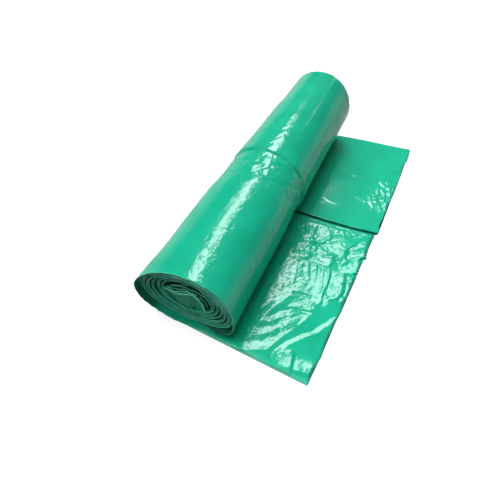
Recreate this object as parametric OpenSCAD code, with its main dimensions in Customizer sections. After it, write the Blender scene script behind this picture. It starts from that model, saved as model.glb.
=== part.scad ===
// Bin bag roll: a strip of flat film bags, folded in from both sides, wound on
// itself without a core and lying on its side, with the first bag pulled out.
// The turns and the loose bag are one long web, so the part is one solid.
// Frame: z = 0 is the surface it lies on, +Y runs along the roll from its
// flatter end to its rounder end, +X points to the loose bag. The origin is on
// that surface, under the middle of the roll at half its length.

/* [Roll] */
// Length of the roll, which is the width of the folded strip
roll_len = 260; // [200:5:340]
// Width of the roll at the flatter end
near_w = 73.5; // [64:0.5:88]
// Height of the roll at the flatter end
near_h = 53.3; // [46:0.1:64]
// Width of the roll at the rounder end
far_w = 61; // [54:0.5:76]
// Height of the roll at the rounder end
far_h = 67; // [56:0.5:76]
// Turns that can be told apart in the end faces
turns = 6; // [5:1:7]
// How far the roll has settled into its flat spot
settle = 0.6; // [0.3:0.1:1]
// Slope by which the top of the flatter end leans over, its side by the loose
// bag being the higher one
near_lean = 0.1; // [0:0.01:0.14]

/* [Collapsed middle] */
// Width of the middle inside the turns at the flatter end
slot_near_w = 38; // [30:1:42]
// Height of the middle inside the turns at the flatter end
slot_near_h = 27; // [22:0.5:31]
// Width of the middle inside the turns at the rounder end
slot_far_w = 26; // [20:1:30]
// Height of the middle inside the turns at the rounder end
slot_far_h = 30; // [24:0.5:34]
// Depth of the gap over the crumpled film in the middle
slot_depth = 22; // [12:1:40]
// How far the crumpled film in the middle lies behind the turns around it
leaf_depth = 2.6; // [1:0.2:5]
// How far the middle of an end face sinks in
dish = 4; // [0:0.5:6]

/* [End faces] */
// Depth of the groove between two turns
groove_depth = 6; // [3:0.5:10]
// Share of each turn that the groove takes up
groove_share = 0.3; // [0.2:0.02:0.4]
// Share of the first turn that the outermost film takes up
wrap_share = 0.34; // [0.3:0.02:0.5]
// How far the first turn bulges out low down beside the loose bag
corner_bulge = 1.2; // [0:0.1:2]
// How far the outermost wrap sticks out at the side away from the loose bag
wrap_out = 3.5; // [0:0.5:6]
// How unevenly the edges of the turns end
edge_wander = 1.1; // [0:0.1:1.6]

/* [Loose bag] */
// Reach of the loose bag from the middle of the roll to its torn edge
tail_reach = 96; // [80:1:150]
// Thickness of the unfolded middle strip
strip_t = 0.9; // [0.7:0.1:1.4]
// Thickness where a side is folded over it
flap_t = 1.7; // [1.5:0.1:2.4]
// How far the strip sticks out past the flatter end, at the roll
near_out = 1.5; // [0:0.5:4]
// How much more it sticks out there at the torn edge
near_flare = 5; // [0:0.5:8]
// How far the strip sticks out past the rounder end, at the roll
far_out = 1.5; // [0:0.5:4]
// How much more it sticks out there at the torn edge
far_flare = 11; // [0:0.5:14]
// Where the smaller side fold ends, as a share of the strip's width
fold_near = 0.349; // [0.3:0.01:0.4]
// Where the larger side fold begins, as a share of the strip's width
fold_far = 0.535; // [0.48:0.01:0.6]
// How far the larger fold wanders towards the flatter end in one turn
fold_drift = 12; // [0:1:16]
// How far the smaller fold wanders towards the rounder end in one turn
fold_creep = 16; // [0:1:20]
// How far the edge of the larger side fold stands up
fold_lift = 1.5; // [0.5:0.1:2.5]
// How far the torn edge of the middle strip and smaller fold is set back
torn_step = 3; // [0:0.5:5]

/* [Wrinkles] */
// Height of the swell in the smaller fold beside the roll
swell_h = 2.4; // [0:0.2:4]
// Height of the slanting ridges in the smaller fold
ridge_h = 2.6; // [0:0.2:4]
// Height of the crumples in the middle strip
crumple_h = 1.3; // [0:0.1:2]
// How far the roll's waist dips over the middle strip
waist_dip = 0.9; // [0:0.1:1.6]
// How far the waist is crinkled
waist_crinkle = 0.45; // [0:0.05:0.8]

/* [Hidden] */
// Stations around one turn, and around all turns
n_turn = 44;
n_all = n_turn * turns;
// Half the width of the strip that a fold line takes up
fold_half = 0.0035;
// Columns across the smaller fold, the middle strip and the larger fold
cols_near = 9;
cols_mid = 8;
cols_far = 10;
// Steps from the roll to the torn edge, and their crowding towards the roll
n_tail = 18;
tail_crowd = 1.15;
// The last station of the first turn, where the roll meets the loose bag
nip = n_turn - 1;

// Part of a turn in which the first turn gapes, how much deeper the groove is
// there, and by what share of the pitch it is wider
gape_from = 0.74;
gape_to = 0.98;
gape_depth = 9;
gape_share = 0.3;
// Rings of points in the crumpled middle
n_rings = 7;
// How far along the roll the lean of its flatter end dies out, and the share
// of it that carries on to the middle of the roll
lean_reach = 28;
lean_rest = 0.3;
// Least width of the waist, as a share of the roll's length
least_waist = 0.02;

function mix(a, b, s) = a + (b - a) * s;
function clamp01(s) = max(0, min(1, s));
function smooth(s) = let (c = clamp01(s)) c * c * (3 - 2 * c);
function bump(s, from, to) = s <= from || s >= to ? 0 : sin(180 * (s - from) / (to - from));
function bell(d, w) = exp(-(d * d) / (w * w));

// Pitch of the turns sideways and upwards, at the share v of the roll's length
function pitch_x(v) = (mix(near_w, far_w, v) - mix(slot_near_w, slot_far_w, v)) / (2 * turns - 1);
function pitch_z(v) = (mix(near_h, far_h, v) + settle - mix(slot_near_h, slot_far_h, v))
    / (2 * turns - 0.5);
// Half width and half height of the web's outer face after q turns
function half_x(v, q) = mix(near_w, far_w, v) / 2 - (q - 0.5) * pitch_x(v);
function half_z(v, q) = (mix(near_h, far_h, v) + settle) / 2 - (q - 0.25) * pitch_z(v);
function axis_z(v) = half_z(v, 0) - settle;
function lean(v) = near_lean
    * mix(exp(-v * roll_len / lean_reach), clamp01(1 - 2.2 * v), lean_rest);

// A point of the spiral: in = share of the local pitch inwards, dip = plain
// distance inwards
function spiral(v, k, in = 0, dip = 0) =
    let (q = k / n_turn, a = 360 * q, x = -(half_x(v, q + in) - dip) * sin(a))
    [x, max(0, axis_z(v) - (half_z(v, q + in) - dip) * cos(a) + lean(v) * x * max(0, -cos(a)))];

// How far the web's edge stands out past the end of the roll at station k
function edge_out(k, out) =
    let (q = k / n_turn, low = pow(max(0, cos(360 * q)), 1.5), in = smooth((q - 1) / (0.7 * turns)))
    q < 0.5 ? mix(out, 0, smooth(2 * q)) + wrap_out * pow(bump(q, 0, 0.5), 2)
    : q < 0.75 ? 0
    : -dish * (1 - (1 - in) * (1 - 0.9 * low));
function wander(k, e) = edge_wander
    * (sin(k * 360 * 0.37 / n_turn + 80 * e) + 0.5 * sin(k * 360 * 1.31 / n_turn + 50 * e))
    * smooth((k - 0.55 * n_turn) / n_turn) / 1.5;
function gape(k) = bump(k / n_turn, gape_from, gape_to);
function bulge(v, k) = -corner_bulge * pow(gape(k), 2) * pow(1 - v, 2);

// Shares of the pitch taken up by the film and by the groove after it
function film_share(k) = mix(wrap_share, 1 - groove_share, smooth((k - 0.8 * n_turn) / (0.5 * n_turn)));

// The loose bag, from the roll's nip outwards
function torn_x(c) = tail_reach - torn_step * (c < mix(fold_far, fold_near, 0.1) ? 1 : 0)
    - 0.6 * torn_step * smooth((fold_near - c) / fold_near);
function nip_x(v) = -half_x(v, nip / n_turn) * sin(360 * nip / n_turn);
function tail_x(t, c, v) = mix(nip_x(v), torn_x(c), pow(t / n_tail, tail_crowd));
function near_y(x) = -near_out - near_flare * clamp01(x / tail_reach);
function far_y(x) = roll_len + far_out + far_flare * clamp01(x / tail_reach);

function line_dist(x, y, x0, y0, x1, y1) =
    let (l = norm([x1 - x0, y1 - y0])) ((x - x0) * (y1 - y0) - (y - y0) * (x1 - x0)) / l;
function ridge(x, y, x0, y0, x1, y1, w) =
    let (l = norm([x1 - x0, y1 - y0]),
         s = ((x - x0) * (x1 - x0) + (y - y0) * (y1 - y0)) / l / l)
    bell(line_dist(x, y, x0, y0, x1, y1), w) * smooth((s + 0.12) / 0.24) * smooth((1.12 - s) / 0.24);

// Wrinkles of the smaller fold: a swell beside the roll and two slanting ridges
function near_wrinkles(x, y) =
    let (e = fold_near * roll_len, r = tail_reach)
    swell_h * ridge(x, y, 0.42 * r, 0.02 * e, 0.47 * r, 0.95 * e, 0.1 * r)
    + ridge_h * ridge(x, y, 0.6 * r, -0.06 * e, 0.98 * r, 0.6 * e, 0.055 * r)
    + 0.8 * ridge_h * ridge(x, y, 0.56 * r, 0.22 * e, 0.94 * r, 0.86 * e, 0.07 * r)
    + 0.5 * ridge_h * ridge(x, y, 0.72 * r, -0.1 * e, 0.98 * r, 0.2 * e, 0.05 * r);
// Crumples of the middle strip
function mid_crumples(x, y) = crumple_h
    * (0.5 + 0.5 * sin(23 * x + 31 * y)) * (0.55 + 0.45 * sin(17 * x - 41 * y + 40));
// Wrinkles of the larger fold: a low swell and a soft dent by the torn edge
function far_wrinkles(x, y) =
    let (e = roll_len, r = tail_reach)
    0.5 * swell_h * ridge(x, y, 0.5 * r, 0.62 * e, 0.55 * r, 0.98 * e, 0.12 * r)
    + 0.4 * ridge_h * ridge(x, y, 0.9 * r, 0.66 * e, 0.8 * r, 0.86 * e, 0.09 * r);

function tail_top(x, y, c, v) =
    let (base = c < fold_near || c > fold_far ? flap_t : strip_t,
         past = (c - fold_far) * roll_len,
         lift = past > 0 ? fold_lift * exp(-past / 7) : 0,
         lift_near = c < fold_near ? 0.4 * fold_lift * exp((c - fold_near) * roll_len / 6) : 0,
         folds = c < fold_near ? near_wrinkles(x, y) : c > fold_far ? far_wrinkles(x, y)
                                                                    : mid_crumples(x, y),
         free = smooth((x - 0.14 * tail_reach) / (0.2 * tail_reach)),
         edge = smooth(min(c, 1 - c) * 30) * smooth((torn_x(c) - x) / 5 + 0.35))
    mix(spiral(v, nip)[1], base + free * (lift + lift_near + edge * folds),
        smooth((x - nip_x(v)) / (0.11 * tail_reach)));

// Columns across the strip, as shares of its width
cols = concat(
    [for (i = [0 : cols_near - 1]) (fold_near - fold_half) * i / (cols_near - 1)],
    [for (i = [0 : cols_mid - 1]) mix(fold_near + fold_half, fold_far - fold_half, i / (cols_mid - 1))],
    [for (i = [0 : cols_far - 1]) mix(fold_far + fold_half, 1, i / (cols_far - 1))]);
n_cols = len(cols);

// The same column on the roll, where the folds have wandered
function drifted(c, k) =
    let (q = k / n_turn, far = fold_far - fold_drift / roll_len * q,
         near = min(fold_near + fold_creep / roll_len * q, far - least_waist))
    c < fold_near ? c * near / fold_near
    : c > fold_far ? mix(far, 1, (c - fold_far) / (1 - fold_far))
    : mix(near, far, (c - fold_near) / (fold_far - fold_near));

// How far the roll's surface dips at a column and station
function dip(c, k) = c <= fold_near || c >= fold_far ? bulge(c, k)
    : let (s = (c - fold_near) / (fold_far - fold_near))
      waist_dip * smooth(s * 2.2) * smooth(k / 4)
      + waist_crinkle * (sin(k * 137) + sin(k * 61 + c * 2400)) / 2 * smooth(k / 4)
        * smooth((nip - k) / 3);

// Loop around the outside at column c: the roll, the top of the loose bag and
// its underside
function outside(c) = concat(
    [for (k = [0 : nip])
        let (v = drifted(c, k), p = spiral(v, k, 0, dip(c, k)), yn = -edge_out(k, near_out),
             yf = roll_len + edge_out(k, far_out))
        [p[0], mix(yn, yf, v), p[1]]],
    [for (t = [1 : n_tail])
        let (x = tail_x(t, c, c), y = mix(near_y(x), far_y(x), c)) [x, y, tail_top(x, y, c, c)]],
    [for (t = [n_tail : -1 : 0])
        let (x = tail_x(t, c, c), y = mix(near_y(x), far_y(x), c)) [x, y, 0]]);
n_loop = nip + 1 + 2 * n_tail + 1;

side_points = [for (c = cols) for (p = outside(c)) p];
function on_side(j, i) = j * n_loop + i % n_loop;
side_faces = [for (j = [0 : n_cols - 2]) for (i = [0 : n_loop - 1]) for (f = [0, 1])
    f == 0 ? [on_side(j, i), on_side(j, i + 1), on_side(j + 1, i + 1)]
           : [on_side(j, i), on_side(j + 1, i + 1), on_side(j + 1, i)]];

// End face e (0 flatter end, 1 rounder end): per station of the spiral the
// outer edge of the film, its inner edge and the bottom of the groove
function end_y(e, inwards) = e == 0 ? inwards : roll_len - inwards;
function crown(k, e) = wander(k, e) - edge_out(k, e == 0 ? near_out : far_out);
function end_station(k, e) =
    let (w = film_share(k), g = gape(k), ring = gape(k - n_turn),
         a = spiral(e, k, gape_share * ring), b = spiral(e, k, w, bulge(e, k)),
         m = spiral(e, k, (1 + w + gape_share * g) / 2),
         d = groove_depth + gape_depth * g)
    [[a[0], end_y(e, crown(k, e)), a[1]],
     [b[0], end_y(e, crown(k, e)), b[1]],
     [m[0], end_y(e, max(crown(k, e), 0) + d), m[1]]];

function end_points(e) = [for (k = [0 : n_all]) for (p = end_station(k, e)) p];

// Outline of the middle, and its smaller copies: film crumpled into a leaf
// that fills the lower part, under a gap that runs deeper
mouth = concat([for (k = [n_all - n_turn : n_all]) 3 * k + 1],
               [3 * n_all, 3 * (n_all - n_turn) + 2]);
n_mouth = len(mouth);
function leaf_top(u) = 0.3 * bell(u - 0.2, 0.4) - 1.2 * smooth((u - 0.4) / 0.35);
function core_depth(u, t) =
    let (gap = smooth((t - leaf_top(u)) / 0.3))
    dish + mix(leaf_depth + 1.2 * sin(200 * u + 120 * t), slot_depth, gap);
function mouth_ring(pts, e, ring) =
    let (s = 0.94 * (1 - ring / (n_rings + 1)), z0 = axis_z(e),
         w = half_x(e, turns), h = half_z(e, turns))
    [for (m = mouth)
        let (x = pts[m][0] * s, z = z0 + (pts[m][2] - z0) * s)
        [x, end_y(e, core_depth(x / w, (z - z0) / h)), z]];
function end_all(e) =
    let (pts = end_points(e))
    concat(pts, [for (ring = [0 : n_rings - 1]) each mouth_ring(pts, e, ring)],
           [[0, end_y(e, core_depth(0, 0)), axis_z(e)]]);
n_end = 3 * (n_all + 1) + n_rings * n_mouth + 1;

// Faces of an end. Its outermost points are those of the side, so they are
// taken from there
n_sides = n_cols * n_loop;
function on_end(e, k, col) = k <= nip && col == 0
    ? on_side(e == 0 ? 0 : n_cols - 1, k)
    : n_sides + e * n_end + 3 * k + col;
function on_mouth(e, ring, m) = ring == 0
    ? (let (id = mouth[m % n_mouth]) n_sides + e * n_end + id)
    : n_sides + e * n_end + 3 * (n_all + 1) + (ring - 1) * n_mouth + m % n_mouth;
function quad(a, b, c, d) = [[a, b, c], [a, c, d]];
function end_faces(e) =
    let (j = e == 0 ? 0 : n_cols - 1,
         top0 = nip, low0 = n_loop - 1)
    concat(
        [for (k = [0 : n_all - 1]) each
            quad(on_end(e, k, 0), on_end(e, k, 1), on_end(e, k + 1, 1), on_end(e, k + 1, 0))],
        [for (k = [0 : n_all - n_turn - 1]) each concat(
            quad(on_end(e, k, 1), on_end(e, k, 2), on_end(e, k + 1, 2), on_end(e, k + 1, 1)),
            quad(on_end(e, k, 2), on_end(e, k + n_turn, 0), on_end(e, k + n_turn + 1, 0),
                 on_end(e, k + 1, 2)))],
        [for (ring = [0 : n_rings - 1]) for (m = [0 : n_mouth - 1]) each
            quad(on_mouth(e, ring, m), on_mouth(e, ring + 1, m), on_mouth(e, ring + 1, m + 1),
                 on_mouth(e, ring, m + 1))],
        [for (m = [0 : n_mouth - 1])
            [on_mouth(e, n_rings, m), n_sides + (e + 1) * n_end - 1, on_mouth(e, n_rings, m + 1)]],
        [[on_side(j, low0), on_end(e, 0, 1), on_side(j, 0)],
         [on_side(j, low0), on_end(e, 0, 2), on_end(e, 0, 1)],
         [on_side(j, low0), on_end(e, n_turn, 0), on_end(e, 0, 2)],
         [on_side(j, low0), on_side(j, top0), on_end(e, n_turn, 0)]],
        [for (t = [0 : n_tail - 1]) each
            quad(on_side(j, low0 - t), on_side(j, low0 - t - 1), on_side(j, top0 + t + 1),
                 on_side(j, top0 + t))]);
function flipped(fs) = [for (f = fs) [f[0], f[2], f[1]]];

all_points = concat(side_points, end_all(0), end_all(1));
all_faces = concat(side_faces, end_faces(0), flipped(end_faces(1)));

// Which sub-part to draw

// The wound web with its loose bag
module bag_roll() {
    color([0.1, 0.69, 0.51])
        translate([0, -roll_len / 2, 0])
            polyhedron(points = all_points, faces = all_faces, convexity = 12);
}

bag_roll();
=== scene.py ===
"""A roll of flat film bags with its first bag pulled out, dressed for rendering.

The wound web is drawn as five closed pieces: the outermost wrap, the turns
inside it, a leaf and some thin edges of crumpled film in the middle, and the
loose bag on the surface.

Places are in millimetres until a mesh is made, in the part's frame: +X points
to the loose bag, +Y runs along the roll and z = 0 is the surface. y and
`along` count from the roll's near end, and `share` is the same as a share of
its length. `q` counts turns of the web inwards from under the roll: it is
0.25 at the side away from the loose bag, 0.5 on top and 0.75 at the side of
the loose bag. `end` is 0 for the near end and 1 for the far one.
"""
import math

import bpy
import numpy as np
from mathutils import Matrix, Vector
from mathutils.geometry import tessellate_polygon


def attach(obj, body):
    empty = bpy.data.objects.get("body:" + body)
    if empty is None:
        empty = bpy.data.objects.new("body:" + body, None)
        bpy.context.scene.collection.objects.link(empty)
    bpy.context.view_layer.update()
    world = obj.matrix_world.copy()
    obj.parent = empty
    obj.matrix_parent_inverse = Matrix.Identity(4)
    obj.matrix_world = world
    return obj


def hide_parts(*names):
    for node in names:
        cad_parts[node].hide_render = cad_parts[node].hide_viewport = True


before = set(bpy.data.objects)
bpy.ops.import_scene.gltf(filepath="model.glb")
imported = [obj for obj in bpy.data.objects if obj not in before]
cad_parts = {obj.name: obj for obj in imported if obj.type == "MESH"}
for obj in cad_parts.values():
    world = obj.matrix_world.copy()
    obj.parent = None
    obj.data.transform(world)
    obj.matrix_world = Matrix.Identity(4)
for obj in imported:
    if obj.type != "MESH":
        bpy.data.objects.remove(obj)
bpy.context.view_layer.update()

MM = 0.001
TAU = 2 * math.pi

# The roll, as in the part: its length, its width and height at both ends, its
# turns, and how far it has settled into its flat spot
ROLL_LEN = 260.0
NEAR_W, NEAR_H = 73.5, 53.3
FAR_W, FAR_H = 61.0, 67.0
TURNS = 6
SETTLE = 0.6
# The middle inside the turns, and how far the middle of an end sinks in
SLOT_NEAR_W, SLOT_NEAR_H = 38.0, 27.0
SLOT_FAR_W, SLOT_FAR_H = 26.0, 30.0
DISH = 4.0
# Slope by which the near end leans over, how far along that dies out, and the
# share of it that carries on to the middle of the roll
NEAR_LEAN, LEAN_REACH, LEAN_REST = 0.1, 28.0, 0.3
# How far the strip sticks out past the ends, and how much more it does so at
# the torn edge
NEAR_OUT, NEAR_FLARE = 1.5, 5.0
FAR_OUT, FAR_FLARE = 1.5, 11.0
# The loose bag: reach of its torn edge, how far that is set back outside the
# larger fold, and thickness of the middle strip and of a fold over it
TAIL_REACH, TORN_STEP = 96.0, 3.0
STRIP_T, FLAP_T = 0.9, 1.7
# Where the smaller fold ends and the larger one begins, as shares of the
# length, and how far these lines wander towards each other in one turn
FOLD_NEAR, FOLD_FAR = 0.349, 0.535
FOLD_CREEP, FOLD_DRIFT = 16.0, 12.0


# Sums that work on whole arrays

def mix(a, b, s):
    return a + (b - a) * s


def clamp01(s):
    return np.clip(s, 0.0, 1.0)


def smooth(s):
    c = clamp01(s)
    return c * c * (3 - 2 * c)


def band(s, lo, hi, soft):
    """1 between lo and hi, falling to 0 over soft on either side."""
    return smooth((s - lo) / soft + 0.5) * smooth((hi - s) / soft + 0.5)


def bell(d, w):
    return np.exp(-(d / w) ** 2)


def lattice(i, j, seed):
    """The same random number in 0..1 for the same whole-number place."""
    n = i.astype(np.int64) * 374761393 + j.astype(np.int64) * 668265263 + seed * 974634777
    n = n & 0xFFFFFFFF
    n = ((n ^ (n >> 13)) * 1274126177) & 0xFFFFFFFF
    return ((n ^ (n >> 16)) & 0xFFFF) / 65535.0


def soft_noise(x, y, seed):
    """Smooth noise in -1..1 with lumps about 1 across."""
    i, j = np.floor(x), np.floor(y)
    u, v = smooth(x - i), smooth(y - j)
    near = mix(lattice(i, j, seed), lattice(i + 1, j, seed), u)
    far = mix(lattice(i, j + 1, seed), lattice(i + 1, j + 1, seed), u)
    return 2 * mix(near, far, v) - 1


def waver(s, seed, across=0.0):
    """Smooth noise in -1..1 along a line, which differs with `across`."""
    return soft_noise(s, s * 0 + across, seed)


def facet_noise(x, y, seed):
    """Noise in -1..1 made of flat triangles that meet in creases."""
    skew = (x + y) * 0.366
    i, j = np.floor(x + skew), np.floor(y + skew)
    u, v = x + skew - i, y + skew - j
    low, high = lattice(i, j, seed), lattice(i + 1, j + 1, seed)
    first = low * (1 - u) + lattice(i + 1, j, seed) * (u - v) + high * v
    second = low * (1 - v) + lattice(i, j + 1, seed) * (v - u) + high * u
    return 2 * np.where(u > v, first, second) - 1


def crumple(x, y, size, seed, warp=0.5):
    """Irregular crumpled facets about `size` across, in -1..1."""
    u, v = x / size, y / size
    du = warp * soft_noise(u * 0.7, v * 0.7, seed + 1)
    dv = warp * soft_noise(u * 0.7, v * 0.7, seed + 2)
    return facet_noise(u + du, v + dv, seed + 3)


def crest(x, y, path, left, right):
    """Height of a fold whose crest follows (x, y, height) points. Its flanks
    are flat, `left` and `right` wide on the two sides of the way along it."""
    out = np.zeros(np.broadcast(x, y).shape)
    for (x0, y0, h0), (x1, y1, h1) in zip(path, path[1:]):
        dx, dy = x1 - x0, y1 - y0
        s = clamp01(((x - x0) * dx + (y - y0) * dy) / (dx * dx + dy * dy))
        rx, ry = x - x0 - s * dx, y - y0 - s * dy
        wide = np.where(rx * dy - ry * dx > 0, right, left)
        out = np.maximum(out, (h0 + (h1 - h0) * s) * clamp01(1 - np.hypot(rx, ry) / wide))
    return out


def crests(x, y, table):
    """Height of several folds, given as (path, left, right)."""
    return sum(crest(x, y, path, left, right) for path, left, right in table)


def pleats(x, start, every, slope):
    """Facets that rise away from the roll, one after another, from `start`."""
    past = np.maximum(0.0, x - start)
    part = past / every - np.floor(past / every)
    return slope * every * part * smooth((1.0 - part) / 0.14)


def signed_distance(x, z, path):
    """Distance to a line of points, positive on its left."""
    best = np.full(np.shape(x), 1e9)
    sign = np.ones(np.shape(x))
    for (x0, z0), (x1, z1) in zip(path, path[1:]):
        dx, dz = x1 - x0, z1 - z0
        s = clamp01(((x - x0) * dx + (z - z0) * dz) / (dx * dx + dz * dz))
        rx, rz = x - x0 - s * dx, z - z0 - s * dz
        d = np.hypot(rx, rz)
        nearer = d < best
        best = np.where(nearer, d, best)
        sign = np.where(nearer, np.where(dx * rz - dz * rx > 0, 1.0, -1.0), sign)
    return best * sign


def along_path(path, t):
    """Places at shares t of a line of points."""
    path = np.array(path)
    steps = np.hypot(*(path[1:] - path[:-1]).T)
    at = np.concatenate([[0.0], np.cumsum(steps)]) / steps.sum()
    return np.interp(t, at, path[:, 0]), np.interp(t, at, path[:, 1])


# The spiral of the web

def pitch_x(share):
    return (mix(NEAR_W, FAR_W, share) - mix(SLOT_NEAR_W, SLOT_FAR_W, share)) / (2 * TURNS - 1)


def pitch_z(share):
    outside = mix(NEAR_H, FAR_H, share) + SETTLE
    return (outside - mix(SLOT_NEAR_H, SLOT_FAR_H, share)) / (2 * TURNS - 0.5)


def half_x(share, q):
    return mix(NEAR_W, FAR_W, share) / 2 - (q - 0.5) * pitch_x(share)


def half_z(share, q):
    return (mix(NEAR_H, FAR_H, share) + SETTLE) / 2 - (q - 0.25) * pitch_z(share)


def axis_z(share):
    return half_z(share, 0) - SETTLE


def spiral(share, q, inwards=0.0, dip=0.0):
    """Point of the web after q turns; `inwards` is a share of the pitch and
    `dip` a plain distance. The near end leans over: its upper side by the
    loose bag is the higher one."""
    turn = TAU * q
    x = -(half_x(share, q + inwards) - dip) * np.sin(turn)
    z = axis_z(share) - (half_z(share, q + inwards) - dip) * np.cos(turn)
    lean = mix(np.exp(-ROLL_LEN * share / LEAN_REACH), clamp01(1 - 2.2 * share), LEAN_REST)
    z = z + NEAR_LEAN * lean * x * np.maximum(0.0, -np.cos(turn))
    return x, np.maximum(0.0, z)


def from_end(end, depth):
    """Distance along the roll of a place `depth` inside one of its ends."""
    return depth if end == 0 else ROLL_LEN - depth


def placed(x, along, z):
    """Points in the part's frame, whose origin is under the roll's middle."""
    return np.stack([x, along - ROLL_LEN / 2, z], -1)


# Meshes

def add_piece(name, points, faces, material, creased=None, pale=None, hollow=None):
    """A piece of the object. `creased` gives each point how finely crinkled
    the film is there; the other two give how much painted highlight and how
    much painted shade its colour gets, from 0 to 1."""
    mesh = bpy.data.meshes.new(name)
    mesh.from_pydata((np.asarray(points) * MM).tolist(), [], faces)
    mesh.validate()
    mesh.polygons.foreach_set("use_smooth", [True] * len(mesh.polygons))
    mesh.materials.append(material)
    for label, values in (("creased", creased), ("pale", pale), ("hollow", hollow)):
        if values is not None:
            layer = mesh.attributes.new(label, "FLOAT", "POINT")
            layer.data.foreach_set("value", np.ravel(values).astype(np.float32))
    piece = bpy.data.objects.new(name, mesh)
    bpy.context.scene.collection.objects.link(piece)
    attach(piece, "root")
    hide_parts("bag_roll")
    return piece


def swept_faces(stations, loop):
    """Quads between closed loops of points that follow each other."""
    i, j = np.meshgrid(np.arange(stations - 1), np.arange(loop), indexing="ij")
    k = (j + 1) % loop
    quads = np.stack([i * loop + j, i * loop + k, (i + 1) * loop + k, (i + 1) * loop + j], -1)
    return quads.reshape(-1, 4).tolist()


def cap_faces(outline, first, loop):
    """Triangles that close a loop whose flat outline is given, and whether
    they run along the loop as it is numbered."""
    flat = [Vector((float(u), float(v), 0.0)) for u, v in outline]
    faces = [[first + a, first + b, first + c] for a, b, c in tessellate_polygon([flat])]
    steps = [(b - a) % loop for f in faces for a, b in zip(f, f[1:] + f[:1])]
    return faces, steps.count(1) > steps.count(loop - 1)


def outward(points, faces):
    """The faces, turned over if they enclose a negative volume."""
    points = np.asarray(points)
    volume = 0.0
    for size in (3, 4):
        some = np.array([f for f in faces if len(f) == size])
        for k in range(1, size - 1):
            if len(some):
                a, b, c = points[some[:, 0]], points[some[:, k]], points[some[:, k + 1]]
                volume += np.einsum("ij,ij->i", a, np.cross(b, c)).sum()
    return faces if volume > 0 else [f[::-1] for f in faces]


def sweep(name, rows, outline, material, **surface):
    """A closed piece from loops of points, rows[station][place in loop], whose
    first and last loop are closed as the flat `outline` is. `surface` holds
    values for its points, as add_piece takes them."""
    stations, loop = rows.shape[:2]
    faces = swept_faces(stations, loop)
    for first in (0, (stations - 1) * loop):
        cap, with_loop = cap_faces(outline, first, loop)
        faces += [f[::-1] for f in cap] if with_loop == (first == 0) else cap
    points = rows.reshape(-1, 3)
    return add_piece(name, points, outward(points, faces), material, **surface)


# Materials

# Pigment where it is thinnest and thickest
PIGMENT = ((0.006, 0.44, 0.256), (0.010, 0.52, 0.307))
# Colours painted in: a highlight for lips, rims and fold edges, and shade for film between turns, in gaps
# and under the roll
HIGHLIGHT_COLOUR = (0.16, 0.75, 0.52, 1)
SHADE_COLOUR = (0.002, 0.07, 0.042, 1)
# Heights of the fine relief and of the creases, in metres
FINE_DEPTH, CREASE_DEPTH = 0.0002, 0.00017


def film_material(name, tone=1.0, shine=0.5, rough=(0.06, 0.14)):
    """Glossy green film with cloudy pigment, drawn lines and fine puckers, with painted highlight and
    painted shade mixed into its colour where the mesh says.
    """
    mat = bpy.data.materials.new(name)
    mat.use_nodes = True
    nodes, links = mat.node_tree.nodes, mat.node_tree.links
    shader = nodes["Principled BSDF"]
    shader.inputs["IOR"].default_value = 1.5
    shader.inputs["Specular IOR Level"].default_value = shine
    place = nodes.new("ShaderNodeTexCoord").outputs["Object"]

    def noise(where, scale, detail):
        node = nodes.new("ShaderNodeTexNoise")
        node.inputs["Scale"].default_value = scale
        node.inputs["Detail"].default_value = detail
        links.new(where, node.inputs["Vector"])
        return node

    def attribute(label):
        node = nodes.new("ShaderNodeAttribute")
        node.attribute_name = label
        return node.outputs["Fac"]

    def tinted(colour, amount, tint):
        node = nodes.new("ShaderNodeMix")
        node.data_type = "RGBA"
        node.inputs["B"].default_value = tint
        links.new(amount, node.inputs["Factor"])
        links.new(colour, node.inputs["A"])
        return node.outputs["Result"]

    def bump(height, strength, distance):
        node = nodes.new("ShaderNodeBump")
        node.inputs["Strength"].default_value = strength
        node.inputs["Distance"].default_value = distance
        links.new(height, node.inputs["Height"])
        return node

    pigment = nodes.new("ShaderNodeValToRGB")
    for element, position, colour in zip(pigment.color_ramp.elements, (0.3, 0.7), PIGMENT):
        element.position = position
        element.color = [level * tone for level in colour] + [1]
    links.new(noise(place, 45.0, 4.0).outputs["Fac"], pigment.inputs["Fac"])
    # Painted highlight on lips, rims and fold edges, and painted shade between turns, in gaps and under the
    # roll
    colour = tinted(pigment.outputs["Color"], attribute("pale"), HIGHLIGHT_COLOUR)
    colour = tinted(colour, attribute("hollow"), SHADE_COLOUR)
    links.new(colour, shader.inputs["Base Color"])

    # Lines along the roll, in which the film was drawn
    stretch = nodes.new("ShaderNodeMapping")
    stretch.inputs["Scale"].default_value = (1.0, 0.12, 1.0)
    links.new(place, stretch.inputs["Vector"])
    drawn = noise(stretch.outputs["Vector"], 900.0, 3.0).outputs["Fac"]
    gloss = nodes.new("ShaderNodeMapRange")
    gloss.inputs["To Min"].default_value = rough[0]
    gloss.inputs["To Max"].default_value = rough[1]
    links.new(drawn, gloss.inputs["Value"])
    links.new(gloss.outputs["Result"], shader.inputs["Roughness"])
    both = nodes.new("ShaderNodeMath")
    both.operation = "MULTIPLY_ADD"
    both.inputs[1].default_value = 0.35
    links.new(drawn, both.inputs[0])
    links.new(noise(place, 420.0, 5.0).outputs["Fac"], both.inputs[2])
    fine = bump(both.outputs["Value"], 0.2, FINE_DEPTH)

    # Fine creases where the mesh says that the film is crinkled
    crease = noise(place, 560.0, 4.0)
    crease.noise_type = "RIDGED_MULTIFRACTAL"
    crease.inputs["Distortion"].default_value = 0.4
    depth = nodes.new("ShaderNodeMath")
    depth.operation = "MULTIPLY"
    links.new(crease.outputs["Fac"], depth.inputs[0])
    links.new(attribute("creased"), depth.inputs[1])
    sharp = bump(depth.outputs["Value"], 1.0, CREASE_DEPTH)
    links.new(fine.outputs["Normal"], sharp.inputs["Normal"])
    links.new(sharp.outputs["Normal"], shader.inputs["Normal"])
    return mat


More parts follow.
